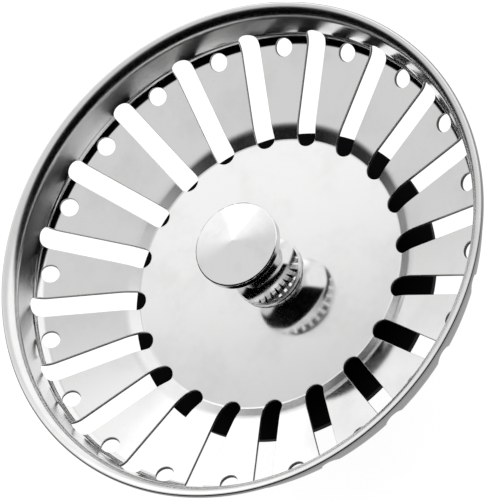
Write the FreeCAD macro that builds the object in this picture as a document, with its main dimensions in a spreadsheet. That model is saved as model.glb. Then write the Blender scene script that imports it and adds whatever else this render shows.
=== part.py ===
import FreeCAD, Part
import math
import os
import re
import Sketcher
from FreeCAD import Placement, Rotation, Vector

# Sink strainer: a pressed steel basket with a lifting rubber stopper.
# Millimetres. Z is the axis, the rim's seat on the sink's waste is the plane z = 0,
# and a drain hole lies on +X with the slots half a pitch to each side.

SIZES = {
    # pressed basket
    "rim_radius": 42.0,
    "lip_slope": 18.0,
    "lip_corner_height": 0.45,
    "lip_bend_radius": 2.4,
    "lip_edge_radius": 0.35,
    "sheet_thickness": 0.6,
    "floor_depth": 11.2,
    "floor_radius": 23.0,
    "floor_bend_radius": 0.8,
    "step_radius": 25.2,
    "step_slope": 30.0,
    "step_bend_radius": 7.0,
    "cone_slope": 16.5,
    "foot_radius": 38.8,
    "foot_bend_radius": 2.4,
    "wall_draft": 10.8,
    "slot_count": 20,
    "slot_width": 3.3,
    "slot_inner_radius": 22.0,
    "slot_end_depth": 4.0,
    "hole_diameter": 3.0,
    "hole_circle_radius": 37.2,
    "hole_tilt": 25.0,
    # guide bush in the floor
    "bush_flange_radius": 5.8,
    "bush_flange_thickness": 0.8,
    "bush_sleeve_radius": 4.5,
    "bush_hole_clearance": 0.1,
    "bush_thread_tail": 0.3,
    "bush_washer_radius": 7.5,
    "bush_washer_thickness": 0.6,
    "bush_nut_across": 13.0,
    "bush_nut_height": 2.0,
    "thread_clearance": 0.05,
    "ring_section_radius": 0.34,
    "ring_depth": 2.0,
    "ring_clearance": 0.04,
    # lift knob
    "knob_foot_radius": 5.6,
    "knob_foot_edge": 0.3,
    "knob_foot_slope": 62.0,
    "knob_neck_radius": 4.2,
    "knob_head_radius": 7.1,
    "knob_head_flare": 0.5,
    "knob_underside_height": 9.9,
    "knob_side_height": 10.4,
    "knob_rim_height": 11.7,
    "knob_rim_round": 0.2,
    "knob_apex_rise": 1.3,
    "knob_bore_depth": 8.0,
    # lift post
    "post_radius": 3.0,
    "post_clearance": 0.05,
    "post_stud_radius": 2.0,
    "post_stud_length": 7.5,
    "post_collar_radius": 5.0,
    "post_collar_thickness": 0.8,
    "post_tail_radius": 2.5,
    "post_tail_engagement": 4.0,
    "lift_travel": 4.0,
    "lift_stop_gap": 0.2,
    # rubber stopper and the plates that clamp it
    "clamp_washer_radius": 9.0,
    "clamp_washer_thickness": 0.8,
    "stopper_gap": 4.6,
    "stopper_radius": 26.4,
    "stopper_lower_radius": 24.6,
    "stopper_flange_thickness": 3.4,
    "stopper_edge_land": 1.2,
    "stopper_well_radius": 10.5,
    "stopper_hub_radius": 14.0,
    "stopper_hub_thickness": 2.6,
    "stopper_bead_radius": 0.6,
    "backing_radius": 12.0,
    "backing_thickness": 1.0,
    "lock_washer_radius": 5.2,
    "lock_washer_thickness": 0.8,
    "lock_washer_split": 12.0,
    # spigot with the two spring catches
    "spigot_across": 12.0,
    "spigot_hex_height": 4.0,
    "spigot_radius": 5.5,
    "spigot_length": 4.0,
    "spigot_bore_gap": 0.5,
    "catch_head_radius": 5.2,
    "catch_head_length": 5.2,
    "catch_head_chamfer": 1.0,
    "catch_height": 3.1,
    "ball_radius": 1.75,
    "ball_clearance": 0.05,
    "ball_projection": 0.9,
    "catch_web": 1.0,
    "spring_wire_radius": 0.14,
    "spring_coil_radius": 1.2,
    "spring_turns": 2.5,
    "spring_seat_clearance": 0.02,
}

doc = FreeCAD.newDocument("sink_strainer")
sheet = doc.addObject("Spreadsheet::Sheet", "sizes")
for row, (alias, value) in enumerate(SIZES.items(), 1):
    sheet.set(f"A{row}", alias)
    sheet.set(f"B{row}", str(value))
    sheet.setAlias(f"B{row}", alias)
doc.recompute()

FUNCTIONS = {"sin", "cos", "tan", "sqrt", "abs"}
parts = []


def bound(text):
    """The same formula with every size read from the sheet."""
    def refer(match):
        word = match.group(0)
        return word if word in FUNCTIONS else "sizes." + word
    return re.sub(r"[a-z][a-z_]+", refer, str(text))


def number(text):
    """The value of a formula of sizes, as a plain number."""
    return float(sheet.evalExpression(re.sub(r"sizes\.", "", bound(text))))


def bind(thing, prop, text):
    thing.setExpression(prop, bound(text))


# Sketches

def new_sketch(body, name, plane, turn=None, shift=None):
    """A sketch on one of the body's own planes; turn is (local axis, angle formula)."""
    sketch = body.newObject("Sketcher::SketchObject", name)
    support = [f for f in body.Origin.OriginFeatures if f.Role == plane][0]
    sketch.AttachmentSupport = (support, [""])
    sketch.MapMode = "FlatFace"
    if turn:
        axis, angle = turn
        sketch.AttachmentOffset = Placement(Vector(), Rotation(axis, number(angle)))
        bind(sketch, "AttachmentOffset.Rotation.Angle", angle)
    for letter, text in (shift or {}).items():
        bind(sketch, f"AttachmentOffset.Base.{letter}", text)
    return sketch


def arc_between(start, end, radius, left):
    """Arc from start to end, its centre to the left or right of the way along."""
    chord = end - start
    side = Vector(-chord.y, chord.x, 0) if left else Vector(chord.y, -chord.x, 0)
    side.normalize()
    reach = math.sqrt(max(radius ** 2 - (chord.Length / 2) ** 2, 0.0))
    centre = start + chord * 0.5 + side * reach
    first, last = (start, end) if left else (end, start)
    angles = [math.atan2(p.y - centre.y, p.x - centre.x) for p in (first, last)]
    if angles[1] < angles[0]:
        angles[1] += 2 * math.pi
    circle = Part.Circle(centre, Vector(0, 0, 1), radius)
    return Part.ArcOfCircle(circle, angles[0], angles[1])


def hold(sketch, geometry, vertex, across, up):
    """Tie one vertex to its place by formulas of sizes."""
    for kind, text, axis in (("DistanceX", across, -2), ("DistanceY", up, -1)):
        value = number(text)
        if abs(value) < 1e-9:
            sketch.addConstraint(Sketcher.Constraint("PointOnObject", geometry, vertex, axis))
            continue
        ends = (-1, 1, geometry, vertex) if value > 0 else (geometry, vertex, -1, 1)
        index = sketch.addConstraint(Sketcher.Constraint(kind, *ends, abs(value)))
        bind(sketch, f"Constraints[{index}]", text if value > 0 else f"-({text})")


def draw(sketch, corners):
    """A closed outline. A corner is (x, y), reached by a line,
    or (x, y, radius, 'left' or 'right'), reached by an arc with its centre on that side."""
    spots = [Vector(number(c[0]), number(c[1]), 0) for c in corners]
    ends = []
    for i, corner in enumerate(corners):
        start, end = spots[i - 1], spots[i]
        if len(corner) == 2:
            index = sketch.addGeometry(Part.LineSegment(start, end))
            ends.append((index, 1, 2))
            continue
        left = corner[3] == "left"
        index = sketch.addGeometry(arc_between(start, end, number(corner[2]), left))
        ends.append((index, 1, 2) if left else (index, 2, 1))
    for i, (index, first, last) in enumerate(ends):
        following, its_first, its_last = ends[(i + 1) % len(ends)]
        sketch.addConstraint(Sketcher.Constraint("Coincident", index, last, following, its_first))
        hold(sketch, index, last, corners[i][0], corners[i][1])
        if len(corners[i]) == 4:
            radius = number(corners[i][2])
            spot = sketch.addConstraint(Sketcher.Constraint("Radius", index, radius))
            bind(sketch, f"Constraints[{spot}]", corners[i][2])


def draw_circle(sketch, x, y, radius):
    circle = Part.Circle(Vector(number(x), number(y), 0), Vector(0, 0, 1), number(radius))
    index = sketch.addGeometry(circle)
    hold(sketch, index, 3, x, y)
    spot = sketch.addConstraint(Sketcher.Constraint("Radius", index, number(radius)))
    bind(sketch, f"Constraints[{spot}]", radius)


# Features of a body

def new_body(label):
    body = doc.addObject("PartDesign::Body", label)
    body.Label = label
    parts.append(body)
    return body


def revolve(body, name, corners, angle="360"):
    sketch = new_sketch(body, name + "_outline", "XZ_Plane")
    draw(sketch, corners)
    turned = body.newObject("PartDesign::Revolution", name)
    turned.Profile = sketch
    turned.ReferenceAxis = (sketch, ["V_Axis"])
    turned.Angle = number(angle)
    bind(turned, "Angle", angle)
    doc.recompute()
    return turned


def pad(body, name, sketch, length):
    raised = body.newObject("PartDesign::Pad", name)
    raised.Profile = sketch
    bind(raised, "Length", length)
    doc.recompute()
    return raised


def pocket(body, name, sketch, length=None, outward=False):
    """A cut against the sketch's normal, or along it if outward. Without a length it goes
    right through, both ways."""
    before = body.Shape.Volume
    cut = body.newObject("PartDesign::Pocket", name)
    cut.Profile = sketch
    cut.Reversed = outward
    if length:
        bind(cut, "Length", length)
    else:
        cut.Type = "ThroughAll"
        cut.Midplane = True
    doc.recompute()
    if body.Shape.Volume >= before:
        raise ValueError(name + " cuts nothing")
    return cut


def around(body, name, features, count):
    """The features repeated evenly round the Z axis."""
    pattern = body.newObject("PartDesign::PolarPattern", name)
    pattern.Originals = features
    axis = [f for f in body.Origin.OriginFeatures if f.Role == "Z_Axis"][0]
    pattern.Axis = (axis, [""])
    pattern.Angle = 360
    bind(pattern, "Occurrences", count)
    body.Tip = pattern
    doc.recompute()
    return pattern


def turned_part(label, corners, angle="360"):
    body = new_body(label)
    revolve(body, label + "_turning", corners, angle)
    return body


def ring_corners(inner, outer, top, thickness):
    low = f"{top} - {thickness}"
    return [(inner, low), (outer, low), (outer, top), (inner, top)]


def hexagon(across):
    """Corners of a hexagon from its width across flats, one pair of flats facing Y."""
    corner = f"{across} / sqrt(3)"
    return [(f"{corner} * cos({60 * k})", f"{corner} * sin({60 * k})") for k in range(6)]


# Heights on the axis, from the knob down to the spigot's tip

floor_top = "-floor_depth"
floor_under = f"{floor_top} - sheet_thickness"
flange_top = f"{floor_top} + bush_flange_thickness"
bush_nut_top = f"{floor_under} - bush_washer_thickness"
bush_end = f"{bush_nut_top} - bush_nut_height - bush_thread_tail"
collar_top = f"{bush_end} - lift_travel - lift_stop_gap"
clamp_top = f"{collar_top} - post_collar_thickness"
hub_top = f"{clamp_top} - clamp_washer_thickness"
hub_under = f"{hub_top} - stopper_hub_thickness"
backing_under = f"{hub_under} - backing_thickness"
spigot_top = f"{backing_under} - lock_washer_thickness"
spigot_step = f"{spigot_top} - spigot_hex_height"
spigot_end = f"{spigot_step} - spigot_length"
spigot_tip = f"{spigot_end} - catch_head_length"
catch_level = f"{spigot_tip} + catch_height"
tail_end = f"{spigot_top} - post_tail_engagement"
post_bore = "post_radius + post_clearance"
tail_hole = "post_tail_radius + thread_clearance"


# Basket

def bend(x, y, slope_in, slope_out, radius):
    """Where the sheet's upper face leaves and meets two straight runs at a corner,
    and the points of its lower face below them."""
    reach = f"({radius}) * tan(abs({slope_out} - ({slope_in})) / 2)"
    points = []
    for slope, sign in ((slope_in, "-"), (slope_out, "+")):
        px = f"{x} {sign} {reach} * cos({slope})"
        py = f"{y} {sign} {reach} * sin({slope})"
        under = (f"{px} + sheet_thickness * sin({slope})", f"{py} - sheet_thickness * cos({slope})")
        points.append(((px, py), under))
    return points


def make_basket():
    body = new_body("strainer_basket")
    wall_slope = "(90 - wall_draft)"
    step_z = f"{floor_top} + (step_radius - floor_radius) * tan(step_slope)"
    foot_z = f"{step_z} + (foot_radius - step_radius) * tan(cone_slope)"
    (a_in, a_in_low), (a_out, a_out_low) = bend(
        "floor_radius", floor_top, "0", "step_slope", "floor_bend_radius")
    (b_in, b_in_low), (b_out, b_out_low) = bend(
        "step_radius", step_z, "step_slope", "cone_slope", "step_bend_radius")
    (c_in, c_in_low), (c_out, c_out_low) = bend(
        "foot_radius", foot_z, "cone_slope", wall_slope, "foot_bend_radius")

    lip_x = f"foot_radius + (lip_corner_height - ({foot_z})) * tan(wall_draft)"
    (d_in, _), (d_out, _) = bend(
        lip_x, "lip_corner_height", wall_slope, "lip_slope", "lip_bend_radius")

    centre_hole = "bush_sleeve_radius + bush_hole_clearance"
    edge_z = f"lip_corner_height + (rim_radius - ({lip_x})) * tan(lip_slope)"
    edge_reach = "lip_edge_radius * tan(45 + lip_slope / 2)"
    edge_start = (f"rim_radius - {edge_reach} * cos(lip_slope)",
                  f"{edge_z} - {edge_reach} * sin(lip_slope)")
    seat_x = f"foot_radius - ({foot_z}) * tan(wall_draft) + sheet_thickness / cos(wall_draft)"

    corners = [
        (centre_hole, floor_under),
        (centre_hole, floor_top),
        a_in,
        (*a_out, "floor_bend_radius", "left"),
        b_in,
        (*b_out, "step_bend_radius", "right"),
        c_in,
        (*c_out, "foot_bend_radius", "left"),
        d_in,
        (*d_out, "lip_bend_radius", "right"),
        edge_start,
        ("rim_radius", f"{edge_z} - {edge_reach}", "lip_edge_radius", "right"),
        ("rim_radius", "lip_edge_radius"),
        ("rim_radius - lip_edge_radius", "0", "lip_edge_radius", "right"),
        (seat_x, "0"),
        c_out_low,
        (*c_in_low, "foot_bend_radius + sheet_thickness", "right"),
        b_out_low,
        (*b_in_low, "step_bend_radius - sheet_thickness", "left"),
        a_out_low,
        (*a_in_low, "floor_bend_radius + sheet_thickness", "right"),
    ]
    revolve(body, "pressed_sheet", corners)

    half_pitch = "180 / slot_count"
    half_width = "slot_width / 2"
    slot_start = f"slot_inner_radius + {half_width}"
    floor_slot = new_sketch(body, "floor_slot_outline", "XY_Plane", (Vector(0, 0, 1), half_pitch))
    draw(floor_slot, [
        ("foot_radius", f"-{half_width}"),
        ("foot_radius", half_width),
        (slot_start, half_width),
        ("slot_inner_radius", "0", half_width, "left"),
        (slot_start, f"-{half_width}", half_width, "left"),
    ])
    slot = pocket(body, "floor_slot", floor_slot)

    notch_top = "-slot_end_depth"
    notch_low = f"{foot_z} - 2 * sheet_thickness"
    notch_round = f"{notch_top} - {half_width}"
    wall_notch = new_sketch(body, "wall_slot_outline", "YZ_Plane", (Vector(0, 1, 0), half_pitch))
    draw(wall_notch, [
        (f"-{half_width}", notch_low),
        (half_width, notch_low),
        (half_width, notch_round),
        ("0", notch_top, half_width, "left"),
        (f"-{half_width}", notch_round, half_width, "left"),
    ])
    notch = pocket(body, "wall_slot", wall_notch, "rim_radius", outward=True)

    hole_z = f"{step_z} + (hole_circle_radius - step_radius) * tan(cone_slope)"
    drain = new_sketch(
        body, "drain_hole_outline", "XY_Plane", (Vector(0, -1, 0), "hole_tilt"),
        {"x": "hole_circle_radius", "z": hole_z})
    draw_circle(drain, "0", "0", "hole_diameter / 2")
    hole = pocket(body, "drain_hole", drain)
    around(body, "slots_and_holes", [slot, notch, hole], "slot_count")


# Guide bush

def make_bush():
    sleeve = "bush_sleeve_radius"
    ring_z = f"{flange_top} - ring_depth"
    ring_radius = "post_radius + ring_clearance + ring_section_radius"
    groove_radius = f"{ring_radius} + ring_section_radius + ring_clearance"
    groove_half = "(ring_section_radius + ring_clearance)"
    turned_part("guide_bush", [
        (post_bore, bush_end),
        (sleeve, bush_end),
        (sleeve, floor_top),
        ("bush_flange_radius", floor_top),
        ("bush_flange_radius", flange_top),
        (post_bore, flange_top),
        (post_bore, f"{ring_z} + {groove_half}"),
        (groove_radius, f"{ring_z} + {groove_half}"),
        (groove_radius, f"{ring_z} - {groove_half}"),
        (post_bore, f"{ring_z} - {groove_half}"),
    ])

    ring = doc.addObject("Part::Torus", "friction_ring")
    bind(ring, "Radius1", ring_radius)
    bind(ring, "Radius2", "ring_section_radius")
    bind(ring, "Placement.Base.z", ring_z)
    parts.append(ring)

    thread = f"{sleeve} + thread_clearance"
    turned_part("bush_washer", ring_corners(
        thread, "bush_washer_radius", floor_under, "bush_washer_thickness"))

    nut = new_body("bush_nut")
    flats = new_sketch(nut, "nut_outline", "XY_Plane", shift={"z": f"{bush_nut_top} - bush_nut_height"})
    draw(flats, hexagon("bush_nut_across"))
    draw_circle(flats, "0", "0", thread)
    pad(nut, "nut_blank", flats, "bush_nut_height")


# Knob and post

def flare(r_near, h_near, r_far, h_far):
    """Radius of an arc that starts upright at the neck and ends at the far point."""
    return f"((({r_far}) - ({r_near}))^2 + (({h_far}) - ({h_near}))^2) / (2 * (({r_far}) - ({r_near})))"


def make_knob():
    def at(height):
        return f"{flange_top} + {height}"
    neck_height = "(knob_foot_edge + (knob_foot_radius - knob_neck_radius) * tan(knob_foot_slope))"
    neck = ("knob_neck_radius", neck_height)
    flare_radius = "knob_head_radius - knob_head_flare"
    bore = "post_stud_radius + thread_clearance"
    turned_part("lift_knob", [
        (bore, flange_top),
        ("knob_foot_radius", flange_top),
        ("knob_foot_radius", at("knob_foot_edge")),
        (neck[0], at(neck[1])),
        (flare_radius, at("knob_underside_height"),
         flare(*neck, flare_radius, "knob_underside_height"), "right"),
        ("knob_head_radius", at("knob_side_height")),
        ("knob_head_radius", at("knob_rim_height - knob_rim_round")),
        ("knob_head_radius - knob_rim_round", at("knob_rim_height"), "knob_rim_round", "left"),
        ("0", at("knob_rim_height + knob_apex_rise")),
        ("0", at("knob_bore_depth")),
        (bore, at("knob_bore_depth")),
    ])


def make_post():
    turned_part("lift_post", [
        ("0", tail_end),
        ("post_tail_radius", tail_end),
        ("post_tail_radius", clamp_top),
        ("post_collar_radius", clamp_top),
        ("post_collar_radius", collar_top),
        ("post_radius", collar_top),
        ("post_radius", flange_top),
        ("post_stud_radius", flange_top),
        ("post_stud_radius", f"{flange_top} + post_stud_length"),
        ("0", f"{flange_top} + post_stud_length"),
    ])


# Rubber stopper and its plates

def make_stopper():
    turned_part("clamp_washer", ring_corners(
        tail_hole, "clamp_washer_radius", clamp_top, "clamp_washer_thickness"))

    rim_top = f"{floor_under} - stopper_gap"
    rim_under = f"{rim_top} - stopper_flange_thickness"
    bead = "stopper_bead_radius"
    turned_part("rubber_stopper", [
        (tail_hole, hub_under),
        ("stopper_hub_radius", hub_under),
        ("stopper_hub_radius", rim_under),
        ("stopper_lower_radius", rim_under),
        ("stopper_radius", f"{rim_top} - stopper_edge_land"),
        ("stopper_radius", f"{rim_top} - {bead} / 2"),
        (f"stopper_radius - {bead} / 2", rim_top, f"{bead} / 2", "left"),
        (f"stopper_well_radius + {bead}", rim_top),
        ("stopper_well_radius", f"{rim_top} - {bead}", bead, "left"),
        ("stopper_well_radius", hub_top),
        (tail_hole, hub_top),
    ])

    turned_part("backing_plate", ring_corners(
        tail_hole, "backing_radius", hub_under, "backing_thickness"))
    turned_part("lock_washer", ring_corners(
        tail_hole, "lock_washer_radius", backing_under, "lock_washer_thickness"),
        "360 - lock_washer_split")


# Spigot, balls and springs

def make_spigot():
    body = new_body("catch_spigot")
    flats = new_sketch(body, "spanner_flats_outline", "XY_Plane", shift={"z": spigot_step})
    draw(flats, hexagon("spigot_across"))
    pad(body, "spanner_flats", flats, "spigot_hex_height")
    revolve(body, "spigot_pin", [
        ("0", spigot_tip),
        ("catch_head_radius - catch_head_chamfer", spigot_tip),
        ("catch_head_radius", f"{spigot_tip} + catch_head_chamfer"),
        ("catch_head_radius", spigot_end),
        ("spigot_radius", spigot_end),
        ("spigot_radius", spigot_step),
        ("0", spigot_step),
    ])
    tapping = new_sketch(body, "tail_bore_outline", "XY_Plane", shift={"z": spigot_top})
    draw_circle(tapping, "0", "0", tail_hole)
    pocket(body, "tail_bore", tapping, "post_tail_engagement + spigot_bore_gap")
    seat = new_sketch(body, "catch_bore_outline", "YZ_Plane", shift={"z": "catch_web / 2"})
    draw_circle(seat, "0", catch_level, "ball_radius + ball_clearance")
    bore = pocket(body, "catch_bore", seat, "2 * catch_head_radius", outward=True)
    around(body, "catch_bores", [bore], "2")


def helix_tube(start_x, end_x):
    """A compression spring along X, its wire's centre line running from start to end:
    a round wire swept on pairs of arcs, eight to a turn."""
    turns = number("spring_turns")
    wire = number("spring_wire_radius")
    coil = number("spring_coil_radius")
    steps = int(round(turns * 4))
    rise = (end_x - start_x) / steps

    def spot(i):
        angle = math.pi / 2 * i
        return Vector(start_x + rise * i, coil * math.cos(angle), coil * math.sin(angle))

    def heading(i):
        angle = math.pi / 2 * i
        swing = coil * math.pi / 2
        return Vector(rise, -swing * math.sin(angle), swing * math.cos(angle)).normalize()

    def arc(start, corner, end):
        middle = (start + end) * 0.5
        half, lift = (middle - start).Length, (corner - middle).Length
        opening = math.atan2(lift, half)
        radius = half / math.sin(opening)
        crown = middle + (corner - middle).normalize() * radius * (1 - math.cos(opening))
        return Part.Arc(start, crown, end).toShape()

    edges = []
    for i in range(steps):
        p0, p1, t0, t1 = spot(i), spot(i + 1), heading(i), heading(i + 1)
        span, both = p1 - p0, t0 + t1
        a, b, c = both.dot(both) - 4, -2 * span.dot(both), span.dot(span)
        reach = (-b - math.sqrt(b * b - 4 * a * c)) / (2 * a)
        q0, q1 = p0 + t0 * reach, p1 - t1 * reach
        joint = (q0 + q1) * 0.5
        edges += [arc(p0, q0, joint), arc(joint, q1, p1)]
    section = Part.Wire(Part.Circle(spot(0), heading(0), wire).toShape())
    print(f"spring: least gap between turns {4 * rise - 2 * wire:.2f} mm")
    return Part.Wire(edges).makePipeShell([section], True, False)


def make_catches():
    ball_x = "catch_head_radius + ball_projection - ball_radius"
    ball_seat = "sqrt((ball_radius + spring_wire_radius)^2 - spring_coil_radius^2)"
    spring_start = "catch_web / 2 + spring_wire_radius + spring_seat_clearance"
    spring_end = f"{ball_x} - {ball_seat} - spring_seat_clearance"
    for side, sign, angle in (("right", 1, 0), ("left", -1, 180)):
        ball = doc.addObject("Part::Sphere", f"catch_ball_{side}")
        bind(ball, "Radius", "ball_radius")
        bind(ball, "Placement.Base.x", f"{sign} * ({ball_x})")
        bind(ball, "Placement.Base.z", catch_level)
        parts.append(ball)

        spring = doc.addObject("Part::Feature", f"catch_spring_{side}")
        spring.Shape = helix_tube(number(spring_start), number(spring_end))
        spring.Placement = Placement(
            Vector(0, 0, number(catch_level)), Rotation(Vector(0, 0, 1), angle))
        parts.append(spring)


make_basket()
make_bush()
make_knob()
make_post()
make_stopper()
make_spigot()
make_catches()
doc.recompute()

for item in doc.Objects:
    if "Invalid" in item.State or "Error" in item.State:
        raise ValueError(f"{item.Label} failed: {item.State}")
for part in parts:
    if part.Shape.isNull() or not part.Shape.isValid():
        raise ValueError(part.Label + " has no valid shape")

os.makedirs("parts", exist_ok=True)
for part in parts:
    part.Shape.exportStep(f"parts/{part.Label}.step")
    print(f"{part.Label}: {len(part.Shape.Solids)} solid, {part.Shape.Volume:.1f} mm3")
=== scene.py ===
import math
import bmesh
import bpy
import numpy as np
from mathutils import Matrix, Vector
from mathutils.geometry import delaunay_2d_cdt


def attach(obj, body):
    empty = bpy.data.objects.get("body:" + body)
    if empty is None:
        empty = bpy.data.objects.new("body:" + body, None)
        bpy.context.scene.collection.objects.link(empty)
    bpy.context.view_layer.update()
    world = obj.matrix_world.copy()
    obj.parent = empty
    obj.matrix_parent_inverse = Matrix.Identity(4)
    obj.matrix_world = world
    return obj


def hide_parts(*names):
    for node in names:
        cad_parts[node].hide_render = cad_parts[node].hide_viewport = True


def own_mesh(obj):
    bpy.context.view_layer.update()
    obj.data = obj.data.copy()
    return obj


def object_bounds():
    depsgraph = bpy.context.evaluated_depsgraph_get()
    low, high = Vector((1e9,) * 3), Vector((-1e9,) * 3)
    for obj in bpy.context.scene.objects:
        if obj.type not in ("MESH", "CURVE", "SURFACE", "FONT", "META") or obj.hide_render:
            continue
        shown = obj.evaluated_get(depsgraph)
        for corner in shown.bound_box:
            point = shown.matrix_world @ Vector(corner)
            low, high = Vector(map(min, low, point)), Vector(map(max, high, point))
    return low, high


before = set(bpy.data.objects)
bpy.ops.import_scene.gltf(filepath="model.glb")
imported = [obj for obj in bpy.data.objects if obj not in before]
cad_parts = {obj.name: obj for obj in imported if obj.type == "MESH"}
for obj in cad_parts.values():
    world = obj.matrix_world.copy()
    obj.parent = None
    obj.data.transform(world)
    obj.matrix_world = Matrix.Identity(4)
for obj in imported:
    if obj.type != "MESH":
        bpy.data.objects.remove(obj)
cad_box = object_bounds()

# Sizes of the solids, in millimetres and degrees

MM = 0.001
SHEET = 0.6
RIM_RADIUS, LIP_SLOPE, LIP_CORNER_Z, LIP_BEND, LIP_EDGE = 42.0, 18.0, 0.45, 2.4, 0.35
CENTRE_HOLE = 4.6
FLOOR_Z, FLOOR_RADIUS, FLOOR_BEND = -11.2, 23.0, 0.8
STEP_RADIUS, STEP_SLOPE, STEP_BEND = 25.2, 30.0, 7.0
FOOT_RADIUS, CONE_SLOPE, FOOT_BEND = 38.8, 16.5, 2.4
WALL_SLOPE = 79.2
SLOTS, SLOT_WIDTH, SLOT_START, SLOT_END_Z = 20, 3.3, 22.0, -4.0
HOLE_RADIUS, HOLE_CIRCLE, HOLE_TILT = 1.5, 37.2, 25.0
PITCH = 360.0 / SLOTS
LEAST_TURN = 1e-6  # radians: a smaller bend is straight


def slope_rise(angle):
    return math.tan(math.radians(angle))


STEP_Z = FLOOR_Z + (STEP_RADIUS - FLOOR_RADIUS) * slope_rise(STEP_SLOPE)
FOOT_Z = STEP_Z + (FOOT_RADIUS - STEP_RADIUS) * slope_rise(CONE_SLOPE)
HOLE_Z = STEP_Z + (HOLE_CIRCLE - STEP_RADIUS) * slope_rise(CONE_SLOPE)


# Outlines of turned and pressed pieces

class Outline:
    """A chain of corners (r, z, rounding) in the half plane of the axis, as close rows of
    points with normals to the left of the way along, and how far along each row lies."""

    def __init__(self, corners, span, arc_step=7.5):
        spots = [np.array(c[:2], float) for c in corners]
        points, normals, self.ends = [], [], []
        for i, spot in enumerate(spots):
            before = spot - spots[i - 1] if i else None
            after = spots[i + 1] - spot if i + 1 < len(spots) else None
            before = after if before is None else before
            after = before if after is None else after
            before, after = before / np.hypot(*before), after / np.hypot(*after)
            turn = math.atan2(before[0] * after[1] - before[1] * after[0], before @ after)
            left_before = np.array([-before[1], before[0]])
            left_after = np.array([-after[1], after[0]])
            rounding = corners[i][2] if len(corners[i]) > 2 else 0.0
            first = len(points)
            if rounding and abs(turn) > LEAST_TURN:
                reach = rounding * math.tan(abs(turn) / 2)
                start = spot - before * reach
                centre = start + left_before * rounding * (1 if turn > 0 else -1)
                steps = max(2, math.ceil(abs(math.degrees(turn)) / arc_step))
                for k in range(steps + 1):
                    a = turn * k / steps
                    normal = np.array([left_before[0] * math.cos(a) - left_before[1] * math.sin(a),
                                       left_before[0] * math.sin(a) + left_before[1] * math.cos(a)])
                    points.append(centre - normal * rounding * (1 if turn > 0 else -1))
                    normals.append(normal)
            else:
                normal = left_before + left_after
                points.append(spot)
                normals.append(normal / np.hypot(*normal))
            self.ends.append((first, len(points) - 1))
        rows, row_of = [], {}
        for i, (point, normal) in enumerate(zip(points, normals)):
            if i:
                run = point - points[i - 1]
                parts = max(1, math.ceil(np.hypot(*run) / span))
                for k in range(1, parts):
                    t = k / parts
                    between = normals[i - 1] * (1 - t) + normal * t
                    rows.append((*(points[i - 1] + run * t), *between))
            row_of[i] = len(rows)
            rows.append((*point, *normal))
        self.ends = [(row_of[a], row_of[b]) for a, b in self.ends]
        self.r, self.z, self.nr, self.nz = np.array(rows).T
        size = np.hypot(self.nr, self.nz)
        self.nr, self.nz = self.nr / size, self.nz / size
        self.s = np.concatenate([[0], np.cumsum(np.hypot(np.diff(self.r), np.diff(self.z)))])

    def part(self, first, last):
        """The rows from first to last as an outline of their own."""
        piece = Outline.__new__(Outline)
        for name in ("r", "z", "nr", "nz", "s"):
            setattr(piece, name, getattr(self, name)[first:last + 1])
        return piece

    def at(self, s, turn, depth=0.0):
        """Points and normals on the turned surface, depth below it; turn is in radians."""
        r, z, nr, nz = (np.interp(s, self.s, v) for v in (self.r, self.z, self.nr, self.nz))
        size = np.hypot(nr, nz)
        nr, nz = nr / size, nz / size
        r, z = r - nr * depth, z - nz * depth
        c, w = np.cos(turn), np.sin(turn)
        flat = 0 * turn
        return np.stack([r * c, r * w, z + flat], -1), np.stack([nr * c, nr * w, nz + flat], -1)


# Meshes with the normals of the true surface

WELD, SLIVER = 2e-6, 1e-7  # metres: closer vertices are joined, shorter edges removed


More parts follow.
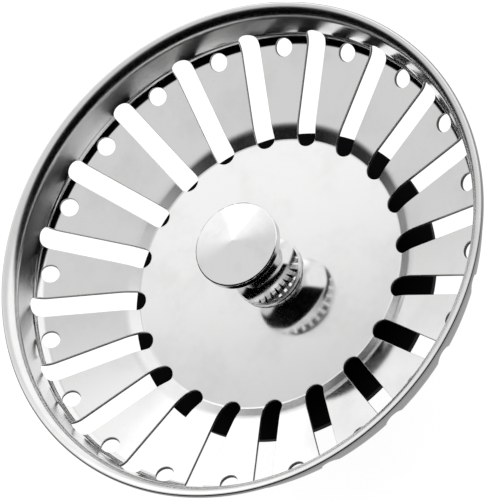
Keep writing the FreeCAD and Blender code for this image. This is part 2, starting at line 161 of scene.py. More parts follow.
class Skin:
    """Vertices, normals and faces of one piece, in millimetres. A face's zone tells which of
    the piece's finishes it takes."""

    def __init__(self):
        self.points, self.normals, self.faces, self.zones, self.count = [], [], [], [], 0

    def add(self, points, normals, faces, zone=0):
        points, normals = np.reshape(points, (-1, 3)), np.reshape(normals, (-1, 3))
        middles = [(points[list(f)], normals[list(f)].sum(0)) for f in faces]
        for face, (p, n) in zip(faces, middles):
            facing = np.cross(p[1] - p[0], p[2] - p[0]) + np.cross(p[2] - p[0], p[-1] - p[0])
            ring = face if facing @ n >= 0 else face[::-1]
            self.faces.append(tuple(int(v) + self.count for v in ring))
            self.zones.append(zone)
        self.points.append(points)
        self.normals.append(normals)
        self.count += len(points)

    def grid(self, points, normals, around=False, zone=0):
        """A sheet of quads from an array of rows by columns."""
        rows, columns = points.shape[:2]
        faces = [(i * columns + j, i * columns + (j + 1) % columns,
                  (i + 1) * columns + (j + 1) % columns, (i + 1) * columns + j)
                 for i in range(rows - 1) for j in range(columns if around else columns - 1)]
        self.add(points, normals, faces, zone)

    def turned_copies(self, count, first_turn):
        """The skin repeated evenly round the axis."""
        points, normals = np.concatenate(self.points), np.concatenate(self.normals)
        faces, zones = self.faces, self.zones
        self.__init__()
        for k in range(count):
            a = math.radians(first_turn + 360.0 * k / count)
            c, w = math.cos(a), math.sin(a)
            turn = np.array([[c, -w, 0], [w, c, 0], [0, 0, 1]])
            self.faces += [tuple(v + self.count for v in f) for f in faces]
            self.zones += zones
            self.points.append(points @ turn.T)
            self.normals.append(normals @ turn.T)
            self.count += len(points)

    def piece(self, name):
        """The skin as an object, with touching vertices joined."""
        mesh = bpy.data.meshes.new(name)
        points = np.concatenate(self.points) * MM
        mesh.from_pydata(points.tolist(), [], self.faces)
        mesh.polygons.foreach_set("material_index", self.zones)
        kept = mesh.attributes.new("true_normal", "FLOAT_VECTOR", "POINT")
        kept.data.foreach_set("vector", np.concatenate(self.normals).astype(np.float32).ravel())
        shape = bmesh.new()
        shape.from_mesh(mesh)
        bmesh.ops.remove_doubles(shape, verts=shape.verts, dist=WELD)
        bmesh.ops.dissolve_degenerate(shape, edges=shape.edges, dist=SLIVER)
        for face in shape.faces:
            face.smooth = True
        shape.to_mesh(mesh)
        shape.free()
        normals = np.zeros(len(mesh.vertices) * 3, np.float32)
        mesh.attributes["true_normal"].data.foreach_get("vector", normals)
        mesh.attributes.remove(mesh.attributes["true_normal"])
        mesh.normals_split_custom_set_from_vertices(normals.reshape(-1, 3).tolist())
        made = bpy.data.objects.new(name, mesh)
        bpy.context.scene.collection.objects.link(made)
        return made


def fit_piece(made, body, node, slot, *finishes):
    """Seats a piece: it takes the finishes, rides on the body and stands for the node."""
    for finish in finishes:
        made.data.materials.append(finish)
    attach(made, body)
    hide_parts(node)
    return made


TURNED_SPAN = 0.9  # longest straight step along a turned outline


def turned_piece(name, corners, segments=144, closed=True):
    """A lathe-turned piece from its outline, which runs with the metal on its right."""
    outline = Outline(corners + corners[:1] if closed else corners, span=TURNED_SPAN)
    turns = np.radians(np.arange(segments) * 360.0 / segments)
    points, normals = outline.at(outline.s[:, None], turns[None, :])
    skin = Skin()
    skin.grid(points, normals, around=True)
    return skin.piece(name)


# Pressed basket

PLAIN_Z = -1.6  # the wall has no cuts above this height
SEAT_EDGE = 0.1
WALL_INSIDE, RIM, WALL_OUTSIDE = 4, 6, 9  # corners that part the sheet's outline
# painted shade: the sheared and mill zones take finishes darkened to stand in for shade
POLISHED_FACE, SHEARED_PAINTED_SHADE_FACE, MILL_PAINTED_SHADE_FACE = 0, 1, 2
SLOT_BREAK, BURR_BREAK = 0.08, 0.05  # rolled edges of the cuts, above and below
ROLL_ANGLES = np.radians((0, 30, 60, 90))
HALF_SLOT = SLOT_WIDTH / 2
WALL_IN = 1.0 / slope_rise(WALL_SLOPE)

# How closely the sheet is meshed; one sector holds a slot and a hole
SHEET_SPAN, EDGE_TURN, EDGE_SPOTS = 1.2, 9.0, 28
QUARTER = np.radians(np.linspace(0, 90, 9))
HOLE_TURNS = np.radians(np.arange(0, 360, 12))
SECTOR = np.radians(np.linspace(-PITCH / 4, PITCH * 3 / 4, 19))
HOLE_SEARCH, SEARCH_STEPS = STEP_RADIUS + 4, 4000
FLAT_RADIUS, CUT_GAP, FLAT_WELD = STEP_RADIUS + 5, 0.2, 1e-7
NUDGE, TINY = 0.01, 1e-12  # a short step along the sheet, and a divisor that is not zero


def lower_corner(x, z, slope_in, slope_out):
    """Where the sheet's lower face turns below a corner of its upper face."""
    middle = math.radians(slope_in + slope_out) / 2
    half = math.radians(slope_out - slope_in) / 2
    reach = SHEET / math.cos(half)
    return x + reach * math.sin(middle), z - reach * math.cos(middle)


def wall_radius(z):
    """The wall's inner radius at a height."""
    return FOOT_RADIUS + (z - FOOT_Z) * WALL_IN


def sheet_sides():
    """The sheet's outline in four: cut upper face, lip, seat below the lip, cut lower face."""
    wall_out = SHEET / math.sin(math.radians(WALL_SLOPE))
    lip_radius = wall_radius(LIP_CORNER_Z)
    edge_z = LIP_CORNER_Z + (RIM_RADIUS - lip_radius) * slope_rise(LIP_SLOPE)
    whole = Outline([
        (CENTRE_HOLE, FLOOR_Z),
        (FLOOR_RADIUS, FLOOR_Z, FLOOR_BEND),
        (STEP_RADIUS, STEP_Z, STEP_BEND),
        (FOOT_RADIUS, FOOT_Z, FOOT_BEND),
        (wall_radius(PLAIN_Z), PLAIN_Z),
        (lip_radius, LIP_CORNER_Z, LIP_BEND),
        (RIM_RADIUS, edge_z, LIP_EDGE),
        (RIM_RADIUS, 0.0, LIP_EDGE),
        (wall_radius(0.0) + wall_out, 0.0, SEAT_EDGE),
        (wall_radius(PLAIN_Z) + wall_out, PLAIN_Z),
        (*lower_corner(FOOT_RADIUS, FOOT_Z, CONE_SLOPE, WALL_SLOPE), FOOT_BEND + SHEET),
        (*lower_corner(STEP_RADIUS, STEP_Z, STEP_SLOPE, CONE_SLOPE), STEP_BEND - SHEET),
        (*lower_corner(FLOOR_RADIUS, FLOOR_Z, 0.0, STEP_SLOPE), FLOOR_BEND + SHEET),
        (CENTRE_HOLE, FLOOR_Z - SHEET),
    ], span=SHEET_SPAN)
    top_end, seat_end = whole.ends[WALL_INSIDE][0], whole.ends[WALL_OUTSIDE][0]
    edge_middle = sum(whole.ends[RIM]) // 2
    return (whole.part(0, top_end), whole.part(top_end, edge_middle),
            whole.part(edge_middle, seat_end), whole.part(seat_end, len(whole.s) - 1))


def slot_edge(side):
    """Half of the slot's edge from its tip in the floor to its tip in the wall, as (s, turn)."""
    x = SLOT_START + HALF_SLOT - HALF_SLOT * np.cos(QUARTER)
    y = HALF_SLOT * np.sin(QUARTER)
    out = np.argsort(side.r)
    tip = np.interp(np.hypot(x, y), side.r[out], side.s[out])
    wall = side.z > FOOT_Z
    up = np.argsort(side.z[wall])
    rise = SLOT_END_Z - HALF_SLOT + HALF_SLOT * np.sin(QUARTER)
    end = np.interp(rise, side.z[wall][up], side.s[wall][up])
    turned = np.degrees(np.abs(np.diff(np.arctan2(side.nz, side.nr))))
    steps = np.diff(side.s) / SHEET_SPAN + turned / EDGE_TURN
    closeness = np.concatenate([[0], np.cumsum(steps)])
    first, last = np.interp((tip[-1], end[0]), side.s, closeness)
    straight = np.interp(np.linspace(first, last, EDGE_SPOTS)[1:-1], closeness, side.s)
    s = np.concatenate([tip, straight, end])
    y = np.concatenate([y, np.full(len(straight), HALF_SLOT), HALF_SLOT * np.cos(QUARTER)])
    return s, np.arcsin(y / np.interp(s, side.s, side.r))


def slot_loop(side):
    """The slot's whole edge."""
    s, turn = slot_edge(side)
    return np.concatenate([s, s[-2:0:-1]]), np.concatenate([turn, -turn[-2:0:-1]])


def hole_loop(side):
    """The edge of a drain hole, punched along a tilted line, as (s, turn)."""
    tilt = math.radians(HOLE_TILT)
    cone = (side.r > HOLE_SEARCH) & (side.z < SLOT_END_Z)
    fine = np.linspace(side.s[cone].min(), side.s[cone].max(), SEARCH_STEPS)
    r, z = np.interp(fine, side.s, side.r), np.interp(fine, side.s, side.z)
    s, turn = [], []
    for a in HOLE_TURNS:
        y = HOLE_RADIUS * math.sin(a)
        outward = np.sqrt(r * r - y * y) - HOLE_CIRCLE
        across = outward * math.cos(tilt) + (z - HOLE_Z) * math.sin(tilt)
        order = np.argsort(across)
        s.append(np.interp(HOLE_RADIUS * math.cos(a), across[order], fine[order]))
        turn.append(math.radians(PITCH / 2) + math.asin(y / np.interp(s[-1], side.s, side.r)))
    return np.array(s), np.array(turn)


def grown(side, loop, by):
    """The loop moved away from its cut along the sheet, and the way out of the cut there."""
    s, turn = loop
    radius = np.interp(s, side.s, side.r)
    run = np.roll(s, -1) - np.roll(s, 1)
    sweep = (np.roll(turn, -1) - np.roll(turn, 1)) * radius
    size = np.hypot(run, sweep)
    out_s, out_turn = sweep / size, -run / size
    if ((s - s.mean()) * out_s + (turn - turn.mean()) * radius * out_turn).sum() < 0:
        out_s, out_turn = -out_s, -out_turn
    return (s + out_s * by, turn + out_turn * by / radius), (out_s, out_turn)


def rolled_edge(skin, side, loop, edge_break, zone):
    """The rolled edge of a cut, from the sheet's face to the start of the cut's wall."""
    points, normals = [], []
    for angle in ROLL_ANGLES:
        (s, turn), (out_s, out_turn) = grown(side, loop, edge_break * (1 - math.sin(angle)))
        point, normal = side.at(s, turn, edge_break * (1 - math.cos(angle)))
        radius = np.interp(s, side.s, side.r)
        ahead = side.at(s + out_s * NUDGE, turn + out_turn * NUDGE / radius)[0]
        inward = side.at(s, turn)[0] - ahead
        inward /= np.linalg.norm(inward, axis=1)[:, None]
        points.append(point)
        normals.append(normal * math.cos(angle) + inward * math.sin(angle))
    skin.grid(np.array(points), np.array(normals), around=True, zone=zone)
    return grown(side, loop, edge_break)[0], points[-1], normals[-1]


def inside(spots, s, turn):
    """Which of the spots lie within a loop."""
    x, y = spots[:, 0, None], spots[:, 1, None]
    x1, y1, x2, y2 = s, turn, np.roll(s, -1), np.roll(turn, -1)
    rise = np.where(y2 == y1, TINY, y2 - y1)
    crossing = ((y1 > y) != (y2 > y)) & (x < (x2 - x1) * (y - y1) / rise + x1)
    return crossing.sum(1) % 2 == 1


def sheet_face(skin, side, loops, zone):
    """One face of the sheet round its cuts, meshed flat and then bent to the outline."""
    cloud = np.array([(s, t) for s in side.s for t in SECTOR])
    keep = np.ones(len(cloud), bool)
    radius = np.interp(cloud[:, 0], side.s, side.r)
    for s, turn in loops:
        gap = np.hypot(cloud[:, None, 0] - s, (cloud[:, None, 1] - turn) * radius[:, None])
        keep &= gap.min(1) > CUT_GAP
        keep &= ~inside(cloud, s, turn)
    edge_row = np.isin(cloud[:, 0], (side.s[0], side.s[-1]))
    edge_column = np.isin(cloud[:, 1], (SECTOR[0], SECTOR[-1]))
    keep |= edge_row | edge_column
    flat = [Vector((s, t * FLAT_RADIUS)) for s, t in cloud[keep]]
    lines = []
    for s, turn in loops:
        first = len(flat)
        flat += [Vector((a, b * FLAT_RADIUS)) for a, b in zip(s, turn)]
        lines += [(first + i, first + (i + 1) % len(s)) for i in range(len(s))]
    spread, _, faces, *_ = delaunay_2d_cdt(flat, lines, [], 0, FLAT_WELD)
    s = np.array([v.x for v in spread])
    turn = np.array([v.y for v in spread]) / FLAT_RADIUS
    faces = np.array(faces)
    middle = np.stack([s[faces].mean(1), turn[faces].mean(1)], -1)
    open_faces = np.ones(len(faces), bool)
    for loop in loops:
        open_faces &= ~inside(middle, *loop)
    points, normals = side.at(s, turn)
    skin.add(points, normals, [tuple(f) for f in faces[open_faces]], zone)


def pressed_basket():
    """The whole basket from one sector, turned round the axis."""
    top, lip, seat, under = sheet_sides()
    skin, edges = Skin(), []
    for side, edge_break, zone in ((top, SLOT_BREAK, POLISHED_FACE),
                                   (under, BURR_BREAK, MILL_PAINTED_SHADE_FACE)):
        loops = [slot_loop(side), hole_loop(side)]
        rolled = [rolled_edge(skin, side, loop, edge_break, zone) for loop in loops]
        sheet_face(skin, side, [outer for outer, points, normals in rolled], zone)
        edges.append([(points, normals) for outer, points, normals in rolled])
    for (upper, upper_way), (lower, lower_way) in zip(*edges):
        skin.grid(np.array([upper, lower]), np.array([upper_way, lower_way]),
                  around=True, zone=SHEARED_PAINTED_SHADE_FACE)
    for band, zone in ((lip, POLISHED_FACE), (seat, MILL_PAINTED_SHADE_FACE)):
        points, normals = band.at(band.s[:, None], SECTOR[None, :])
        skin.grid(points, normals, zone=zone)
    ends = np.array([top.at(top.s[:1], SECTOR)[0], under.at(under.s[-1:], SECTOR)[0]])
    inward = np.stack([-np.cos(SECTOR), -np.sin(SECTOR), 0 * SECTOR], -1)
    skin.grid(ends, np.array([inward, inward]), zone=SHEARED_PAINTED_SHADE_FACE)
    skin.turned_copies(SLOTS, PITCH / 2)
    return skin.piece("basket_shell")


# Knob, bush and the turned parts below the floor

FLANGE_TOP = FLOOR_Z + 0.8
FLOOR_UNDER = FLOOR_Z - SHEET
STOPPER_TOP = FLOOR_UNDER - 4.6
BUSH_END, COLLAR_TOP, CLAMP_TOP = -14.7, -18.9, -19.7
HUB_TOP, HUB_UNDER, SPIGOT_TOP = -20.5, -23.1, -24.9
CATCH_Z, WEB_HALF = -35.0, 0.5
BUSH_CLEAR, POST_CLEAR = 4.55, 2.55  # bores that slip over the bush and the post


def neck_arc(r_neck, h_neck, r_far, h_far, steps=14):
    """Points of an arc that is upright at the knob's neck and runs out to the far radius."""
    radius = ((r_far - r_neck) ** 2 + (h_far - h_neck) ** 2) / (2 * (r_far - r_neck))
    reach = math.asin((h_far - h_neck) / radius)
    return [(r_neck + radius * (1 - math.cos(a)), FLANGE_TOP + h_neck + radius * math.sin(a))
            for a in np.linspace(0, reach, steps)]


def lift_knob():
    """The knob, its heights counted from the bush's flange."""
    neck, foot, foot_edge, foot_slope, bore = 4.2, 5.6, 0.3, 62.0, 2.2
    under_head, under_height = 6.6, 9.9
    grip, grip_low, grip_high = 7.1, 10.4, 11.55
    shoulder, shoulder_height = 6.9, 11.7
    tip_radius, tip_height, tip_edge = 0.35, 13.0, 12.95
    neck_height = foot_edge + (foot - neck) * slope_rise(foot_slope)
    crown = [(0.0, FLANGE_TOP + tip_height), (tip_radius, FLANGE_TOP + tip_edge)]
    side = [(shoulder, FLANGE_TOP + shoulder_height, 0.3),
            (grip, FLANGE_TOP + grip_high, 0.12), (grip, FLANGE_TOP + grip_low, 0.1)]
    head = neck_arc(neck, neck_height, under_head, under_height)
    base = [(foot, FLANGE_TOP + foot_edge, 0.15), (foot, FLANGE_TOP, 0.08), (bore, FLANGE_TOP)]
    return turned_piece("knob_turning", crown + side + head[::-1] + base, closed=False)


def guide_bush():
    bore, flange, barrel, end_break = 3.05, 5.8, 4.5, 0.15
    return turned_piece("bush_turning", [
        (bore, FLANGE_TOP), (flange, FLANGE_TOP, 0.12), (flange, FLOOR_Z), (barrel, FLOOR_Z),
        (barrel, BUSH_END, end_break), (bore, BUSH_END, end_break)], segments=96)


def washer(name, inner, outer, top, thickness):
    """A stamped washer, rounder on its upper edge."""
    low, bore_break, break_top, break_low = top - thickness, 0.05, 0.12, 0.06
    return turned_piece(name, [
        (inner, top, bore_break), (outer, top, break_top),
        (outer, low, break_low), (inner, low, bore_break)], segments=96)


def rubber_stopper():
    well, rim, rim_low, hub = 10.5, 26.4, 24.6, 14.0
    rim_z, under_z = STOPPER_TOP - 1.2, STOPPER_TOP - 3.4
    return turned_piece("stopper_moulding", [
        (POST_CLEAR, HUB_TOP), (well, HUB_TOP, 0.5), (well, STOPPER_TOP, 0.6),
        (rim, STOPPER_TOP, 0.3), (rim, rim_z, 0.2), (rim_low, under_z, 0.5),
        (hub, under_z, 0.8), (hub, HUB_UNDER, 0.3), (POST_CLEAR, HUB_UNDER)], segments=192)


def lift_post():
    tenon, rod, collar, stud = 2.0, 3.0, 5.0, 2.5
    tenon_top, stud_end = FLANGE_TOP + 7.5, SPIGOT_TOP - 4.0
    return turned_piece("post_turning", [
        (0.0, tenon_top), (tenon, tenon_top, 0.2), (tenon, FLANGE_TOP), (rod, FLANGE_TOP, 0.1),
        (rod, COLLAR_TOP, 0.2), (collar, COLLAR_TOP, 0.1), (collar, CLAMP_TOP), (stud, CLAMP_TOP),
        (stud, stud_end, 0.3), (0.0, stud_end)], segments=96, closed=False)


def hex_nut(name, across, bore, top, height, chamfer_radius):
    """A nut with turned chamfers on both faces and a small break at its bore."""
    bore_break, chamfer_slope, sharp_angle, facet_turn = 0.15, 25.0, 18, 60
    turns = np.radians(np.arange(0, 360, 1.5))
    half_facet = facet_turn // 2
    flats = across / 2 / np.cos(np.radians(np.degrees(turns) % facet_turn - half_facet))
    drop = np.maximum(flats - chamfer_radius, 0.0) * slope_rise(chamfer_slope)
    facet_number = np.floor(np.degrees(turns + LEAST_TURN) / facet_turn)
    facet = np.radians(facet_number * facet_turn + half_facet)
    outward = np.stack([np.cos(facet), np.sin(facet), 0 * turns], -1)

    def ring(radius, z):
        return np.stack([radius * np.cos(turns), radius * np.sin(turns), z + 0 * turns], -1)

    skin = Skin()
    middle = top - height / 2
    for sign, face in ((1, top), (-1, top - height)):
        upright = ring(0.0, sign)
        mouth, bore_edge = ring(bore + bore_break, face), ring(bore, face - sign * bore_break)
        shoulder = ring(np.minimum(chamfer_radius, flats), face)
        corner = ring(flats, face - sign * drop)
        for rows, way in (((mouth, shoulder, corner), upright),
                          ((mouth, bore_edge), upright),
                          ((corner, ring(flats, middle)), outward),
                          ((bore_edge, ring(bore, middle)), -ring(1.0, 0.0))):
            skin.grid(np.array(rows), np.array([way] * len(rows)), around=True)
    made = skin.piece(name)
    made.data.set_sharp_from_angle(angle=math.radians(sharp_angle))
    return made


def catch_spring(side, sign):
    """A short compression spring of round wire between the spigot's web and its ball."""
    wire, coil, start, end, turns = 0.14, 1.2, WEB_HALF + 0.16, 2.873, 2.5
    steps, ring = 120, 14
    t = np.linspace(0, 1, steps)
    a = t * turns * 2 * math.pi
    reach = sign * (start + (end - start) * t)
    centre = np.stack([reach, sign * coil * np.cos(a), CATCH_Z + coil * np.sin(a)], -1)
    way = np.gradient(centre, axis=0)
    way /= np.linalg.norm(way, axis=1)[:, None]
    out = np.stack([0 * a, sign * np.cos(a), np.sin(a)], -1)
    across = np.cross(way, out)
    b = np.linspace(0, 2 * math.pi, ring, endpoint=False)[None, :, None]
    normals = out[:, None] * np.cos(b) + across[:, None] * np.sin(b)
    skin = Skin()
    skin.grid(centre[:, None] + normals * wire, normals, around=True)
    for rim, end_way in ((0, -way[0]), (-1, way[-1])):
        disc = np.concatenate([[centre[rim]], centre[rim] + normals[rim] * wire])
        skin.add(disc, np.repeat([end_way], ring + 1, 0),
                 [(0, 1 + k, 1 + (k + 1) % ring) for k in range(ring)])
    return skin.piece(f"spring_wire_{side}")


# Shader maths

class Wire:
    """A socket whose sums are written as Python expressions."""

    def __init__(self, finish, socket):
        self.finish, self.socket = finish, socket

    def maths(self, operation, *terms):
        sockets = dict(enumerate(terms))
        return self.finish.node("ShaderNodeMath", {"operation": operation}, sockets)

    def __add__(self, other):
        return self.maths("ADD", self, other)

    def __sub__(self, other):
        return self.maths("SUBTRACT", self, other)

    def __rsub__(self, other):
        return self.maths("SUBTRACT", other, self)

    def __mul__(self, other):
        return self.maths("MULTIPLY", self, other)

    def __pow__(self, other):
        return self.maths("POWER", self, other)

    __radd__, __rmul__ = __add__, __mul__

    def at_most(self, limit):
        return self.maths("MINIMUM", self, limit)

    def between(self, low, high):
        """0 below low, 1 above high, smooth on the way."""
        return self.finish.node("ShaderNodeMapRange", {"interpolation_type": "SMOOTHSTEP"},
                                {"Value": self, "From Min": low, "From Max": high})


class Finish:
    """The node tree of one finish."""

    def __init__(self, owner):
        owner.use_nodes = True
        self.tree = owner.node_tree
        self.tree.nodes.clear()

    def node(self, kind, settings=None, sockets=None, out=0):
        made = self.tree.nodes.new(kind)
        for key, value in (settings or {}).items():
            setattr(made, key, value)
        for key, value in (sockets or {}).items():
            if isinstance(value, Wire):
                self.tree.links.new(value.socket, made.inputs[key])
            else:
                made.inputs[key].default_value = value
        return Wire(self, made.outputs[out]) if len(made.outputs) else made

    def mix(self, mask, plain, marked):
        """One colour where the mask is 0, the other where it is 1."""
        sockets = {0: mask, 6: plain, 7: marked}
        return self.node("ShaderNodeMix", {"data_type": "RGBA"}, sockets, out=2)

    def place(self):
        """The place on the object in millimetres."""
        sockets = {0: self.node("ShaderNodeTexCoord", out="Object"), "Scale": 1 / MM}
        return self.node("ShaderNodeVectorMath", {"operation": "SCALE"}, sockets)

    def parts(self, place):
        """The x, y and z of a place."""
        split = self.node("ShaderNodeSeparateXYZ", None, {0: place}).socket.node
        return [Wire(self, output) for output in split.outputs]

    def turned_place(self):
        """The place, its distance from the part's axis and its height."""
        place = self.place()
        x, y, z = self.parts(place)
        return place, (x * x + y * y) ** 0.5, z

    def noise(self, place, scale, detail=2.0, rough=0.5):
        return self.node("ShaderNodeTexNoise", None,
                         {"Vector": place, "Scale": scale, "Detail": detail, "Roughness": rough})

    def rings(self, along, scale, detail=3.0):
        """Fine lines that vary only along one measure."""
        return self.node("ShaderNodeTexNoise", {"noise_dimensions": "1D"},
                         {"W": along, "Scale": scale, "Detail": detail})

    def streaks(self, place, across, along, scale):
        """Noise drawn out along the axis."""
        x, y, z = self.parts(place)
        drawn = {0: x * across, 1: y * across, 2: z * along}
        return self.noise(self.node("ShaderNodeCombineXYZ", None, drawn), scale, 3.0)

    def relief(self, height, strength, depth_mm, over=None):
        """A bent normal from a height, laid over another relief if one is given."""
        sockets = {"Strength": strength, "Distance": depth_mm * MM, "Height": height}
        return self.node("ShaderNodeBump", None, {**sockets, "Normal": over} if over else sockets)

    def surface(self, sockets):
        shade = self.node("ShaderNodeBsdfPrincipled", None, sockets)
        self.node("ShaderNodeOutputMaterial", None, {"Surface": shade})


def new_finish(name):
    material = bpy.data.materials.new(name)
    return material, Finish(material)


# Where a finish starts and is full, in millimetres, and the floor's fall from its crown
DRAWN_WALL, STEP_START, STEP_FINISH = (-5.0, -2.5), (22.7, 23.2), (25.0, 26.2)
RUBBER_FACE = (-17.2, -16.6)
CROWN_DROP = -0.0016


def polished_sheet():
    """The basket's inside, buffed, and duller where the press drew the step and the wall."""
    material, f = new_finish("polished_sheet")
    place, radius, z = f.turned_place()
    buffing = f.rings(radius + z * 1.7, 9.0)
    smear = f.noise(place, 0.11, 4.0, 0.6).between(0.42, 0.72)
    specks = f.noise(place, 2.6, 2.0).between(0.66, 0.74)
    tone = f.mix(smear, (0.80, 0.80, 0.795, 1), (0.745, 0.745, 0.74, 1))
    within = radius.at_most(FLOOR_RADIUS)
    crown = f.relief(within * within * CROWN_DROP, 1.0, 1.0)
    drawn_wall = z.between(*DRAWN_WALL)
    drawn_step = radius.between(*STEP_START) * (1 - radius.between(*STEP_FINISH))
    f.surface({
        "Base Color": f.mix(specks * 0.35, tone, (0.62, 0.62, 0.61, 1)),
        "Metallic": 1.0,
        "Roughness": 0.07 + 0.05 * smear + 0.03 * buffing + 0.11 * drawn_wall + 0.12 * drawn_step,
        "Normal": f.relief(buffing, 0.03, 0.002, crown),
    })
    return material


def mill_sheet_painted_shade():
    """The basket's outside, left rough and dull as the rolling mill and the press made it; its
    colour is painted shade, far darker than bare steel, so the outer wall mirrors the table below
    as if it lay in shadow.
    """
    material, f = new_finish("mill_sheet_painted_shade")
    place = f.place()
    cloud = f.noise(place, 0.5, 4.0, 0.65)
    draw_marks = f.streaks(place, 3.0, 0.3, 0.8)
    f.surface({
        # painted shade: these dark base colours stand in for the shadowed table that the outside
        # mirrors
        "Base Color": f.mix(cloud, (0.20, 0.20, 0.197, 1), (0.28, 0.28, 0.277, 1)),
        "Metallic": 1.0,
        "Roughness": 0.26 + 0.12 * cloud,
        "Normal": f.relief(draw_marks, 0.15, 0.006),
    })
    return material


def sheared_edge_painted_shade():
    """The walls of the punched slots and holes, coloured far darker than bare steel as painted
    shade, so they stay dark though they mirror the bright table.
    """
    material, f = new_finish("sheared_edge_painted_shade")
    tear = f.streaks(f.place(), 4.0, 0.6, 1.5)
    f.surface({
        # painted shade: near-black base colours in place of the shade inside the cuts
        "Base Color": f.mix(tear, (0.03, 0.03, 0.03, 1), (0.08, 0.08, 0.078, 1)),
        "Metallic": 1.0,
        "Roughness": 0.36 + 0.15 * tear,
        "Normal": f.relief(tear, 0.3, 0.02),
    })
    return material


def chrome_plate():
    """Plating over fine turning lines."""
    material, f = new_finish("chrome_plate")
    place, radius, z = f.turned_place()
    turning = f.rings(radius + z * 0.8, 12.0)
    smear = f.noise(place, 0.25, 3.0, 0.6).between(0.45, 0.75)
    f.surface({
        "Base Color": f.mix(smear, (0.84, 0.84, 0.845, 1), (0.78, 0.78, 0.785, 1)),
        "Metallic": 1.0,
        "Roughness": 0.045 + 0.06 * smear + 0.02 * turning,
        "Normal": f.relief(turning, 0.10, 0.003),
    })
    return material


def worked_metal(name, light, dark, rough):
    """Turned or stamped steel or brass, with its tool lines and dull patches."""
    material, f = new_finish(name)
    place, radius, z = f.turned_place()
    lines = f.rings(radius + z * 1.3, 5.0, 5.0)
    dull = f.noise(place, 0.4, 4.0, 0.65).between(0.4, 0.7)
    grime = f.noise(place, 1.1, 3.0).between(0.58, 0.72)
    f.surface({
        "Base Color": f.mix(dull * 0.7 + grime * 0.3, light, dark),
        "Metallic": 1.0,
        "Roughness": rough + 0.12 * dull + 0.08 * lines,
        "Normal": f.relief(lines, 0.25, 0.012),
    })
    return material


def black_rubber_painted_shade():
    """Moulded rubber in a tone darker than its own black, as painted shade for the part under the
    basket; the face below the floor keeps the darkest tone, with lighter bloom and dust further
    down.
    """
    material, f = new_finish("black_rubber_painted_shade")
    place = f.place()
    grain = f.noise(place, 5.0, 4.0, 0.6)
    below_top_face = 1 - f.parts(place)[2].between(*RUBBER_FACE)
    bloom = f.noise(place, 0.16, 4.0, 0.6).between(0.48, 0.78) * below_top_face
    dust = f.noise(place, 3.5, 2.0).between(0.64, 0.72) * below_top_face
    # painted shade: both tones are darker than black rubber, standing in for the shade under the
    # basket
    tone = f.mix(bloom, (0.0025, 0.0025, 0.0026, 1), (0.012, 0.012, 0.0125, 1))
    f.surface({
        "Base Color": f.mix(dust * 0.35, tone, (0.03, 0.03, 0.029, 1)),
        "Roughness": 0.5 + 0.16 * bloom + 0.1 * grain,
        "Normal": f.relief(grain, 0.3, 0.05),
        "Specular IOR Level": 0.06,
    })
    return material


def steel_ball():
    """Ground steel with worn patches."""
    material, f = new_finish("steel_ball")
    place = f.place()
    wear = f.noise(place, 1.6, 3.0, 0.6).between(0.5, 0.72)
    f.surface({
        "Base Color": f.mix(wear, (0.76, 0.76, 0.77, 1), (0.66, 0.66, 0.66, 1)),
        "Metallic": 1.0,
        "Roughness": 0.05 + 0.12 * wear,
        "Normal": f.relief(f.noise(place, 9.0, 3.0), 0.06, 0.003),
    })
    return material


POLISHED, SHEARED_PAINTED_SHADE, MILL_PAINTED_SHADE = polished_sheet(), sheared_edge_painted_shade(), mill_sheet_painted_shade()
CHROME, RUBBER_PAINTED_SHADE, BALL = chrome_plate(), black_rubber_painted_shade(), steel_ball()
STEEL = worked_metal("plain_steel", (0.66, 0.66, 0.65, 1), (0.52, 0.52, 0.515, 1), 0.24)
WIRE_STEEL = worked_metal("spring_steel", (0.52, 0.52, 0.52, 1), (0.38, 0.38, 0.38, 1), 0.3)
BRASS = worked_metal("turned_brass", (0.72, 0.56, 0.27, 1), (0.56, 0.41, 0.18, 1), 0.24)

fit_piece(pressed_basket(), "basket", "strainer_basket", "polished_steel",
          POLISHED, SHEARED_PAINTED_SHADE, MILL_PAINTED_SHADE)
fit_piece(guide_bush(), "basket", "guide_bush", "chrome_plate", CHROME)
fit_piece(washer("bush_plate", BUSH_CLEAR, outer=7.5, top=FLOOR_UNDER, thickness=0.6),
          "basket", "bush_washer", "plain_steel", STEEL)
fit_piece(hex_nut("bush_hex", 13.0, BUSH_CLEAR, top=-12.4, height=2.0, chamfer_radius=6.3),
          "basket", "bush_nut", "brass", BRASS)
fit_piece(lift_knob(), "stopper", "lift_knob", "chrome_plate", CHROME)
fit_piece(lift_post(), "stopper", "lift_post", "plain_steel", STEEL)
fit_piece(washer("clamp_plate", POST_CLEAR, outer=9.0, top=CLAMP_TOP, thickness=0.8),
          "stopper", "clamp_washer", "plain_steel", STEEL)
fit_piece(rubber_stopper(), "stopper", "rubber_stopper", "rubber", RUBBER_PAINTED_SHADE)
fit_piece(washer("backing_disc", POST_CLEAR, outer=12.0, top=HUB_UNDER, thickness=1.0),
          "stopper", "backing_plate", "plain_steel", STEEL)
for side, sign in (("right", 1), ("left", -1)):
    spring = fit_piece(catch_spring(side, sign), "stopper", f"catch_spring_{side}",
                       "spring_steel", WIRE_STEEL)
    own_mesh(spring)
kept_nodes = {"friction_ring": RUBBER_PAINTED_SHADE, "lock_washer": STEEL, "catch_spigot": BRASS,
              "catch_ball_left": BALL, "catch_ball_right": BALL}
for node, finish in kept_nodes.items():
    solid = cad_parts[node]
    solid.data.materials.clear()
    solid.data.materials.append(finish)


# Table, light and camera

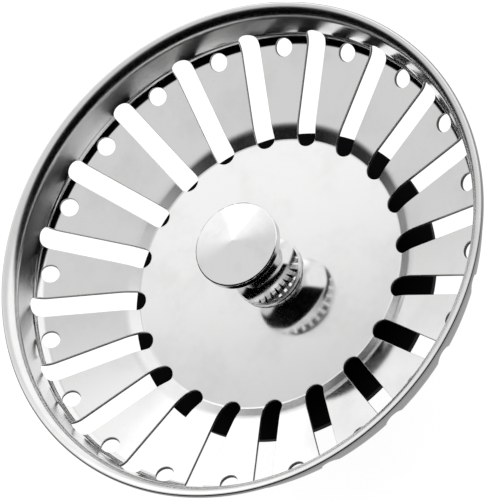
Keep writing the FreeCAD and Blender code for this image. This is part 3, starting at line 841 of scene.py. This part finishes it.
NEAR_TURN, ELEVATION, ROLL = (math.radians(a) for a in (-92.59, 55.64, -49.355))
LENS, SENSOR = 383.4, 36.0
AIM_Z, AWAY, SHIFT_RIGHT, SHIFT_DOWN = 0.6, 840.0, 0.916, 0.699
TABLE_SIZE, TABLE_GAP = 6.0, 0.0002  # metres
near = Vector((math.cos(NEAR_TURN), math.sin(NEAR_TURN), 0))
level = Vector((-math.sin(NEAR_TURN), math.cos(NEAR_TURN), 0))
to_camera = near * math.cos(ELEVATION) + Vector((0, 0, math.sin(ELEVATION)))
upward = Vector((0, 0, math.cos(ELEVATION))) - near * math.sin(ELEVATION)


def table():
    """A pale table just below the part, glowing enough to show white."""
    below = cad_box[0].z - TABLE_GAP
    bpy.ops.mesh.primitive_plane_add(size=TABLE_SIZE, location=(0, 0, below))
    top = bpy.context.object
    top.name = "table"
    material, f = new_finish("pale_table")
    grain = f.noise(f.place(), 0.9, 3.0)
    f.surface({
        "Base Color": f.mix(grain, (0.32, 0.32, 0.32, 1), (0.3, 0.3, 0.3, 1)),
        "Roughness": 0.7,
        "Specular IOR Level": 0.1,
        "Emission Color": (1, 1, 1, 1),
        "Emission Strength": 0.93,
    })
    top.data.materials.append(material)


def studio():
    """A soft white sky, brighter behind the part and on its right, with one small window.
    It is dark on the left and on the camera's side."""
    world = bpy.data.worlds.new("studio")
    bpy.context.scene.world = world
    f = Finish(world)
    way = f.node("ShaderNodeTexCoord", out="Generated")

    def facing(right, back, up):
        """How far the way looked along agrees with a direction as seen from the camera."""
        direction = (level * right - near * back + Vector((0, 0, up))).normalized()
        sockets = {0: way, 1: direction}
        return f.node("ShaderNodeVectorMath", {"operation": "DOT_PRODUCT"}, sockets, out="Value")

    light_side = facing(0.55, 0.55, 0.63).between(0.25, 0.42)
    back_wall = facing(0.25, 0.75, 0.6).between(0.84, 0.97)
    window = facing(0.33, 0.76, 0.56).between(0.962, 0.99)
    right_wall = facing(1, 0, 0).between(0.55, 0.75)
    camera_side = facing(0, -1, 0).between(0.36, 0.48)
    brightness = 0.78 + 0.34 * back_wall + 0.32 * window + 0.4 * right_wall
    strength = light_side * (1 - camera_side) * brightness
    shade = f.node("ShaderNodeBackground", None, {"Color": (1, 1, 1, 1), "Strength": strength})
    f.node("ShaderNodeOutputWorld", None, {"Surface": shade})


def camera():
    lens = bpy.data.cameras.new("camera")
    lens.lens, lens.sensor_width = LENS, SENSOR
    eye = bpy.data.objects.new("camera", lens)
    bpy.context.scene.collection.objects.link(eye)
    right = level * math.cos(ROLL) + upward * math.sin(ROLL)
    up = upward * math.cos(ROLL) - level * math.sin(ROLL)
    place = Vector((0, 0, AIM_Z)) + to_camera * AWAY + right * SHIFT_RIGHT - up * SHIFT_DOWN
    turn = Matrix((right, up, to_camera)).transposed().to_4x4()
    eye.matrix_world = Matrix.Translation(place * MM) @ turn
    bpy.context.scene.camera = eye


table()
studio()
camera()
bpy.context.scene.view_settings.view_transform = "Standard"
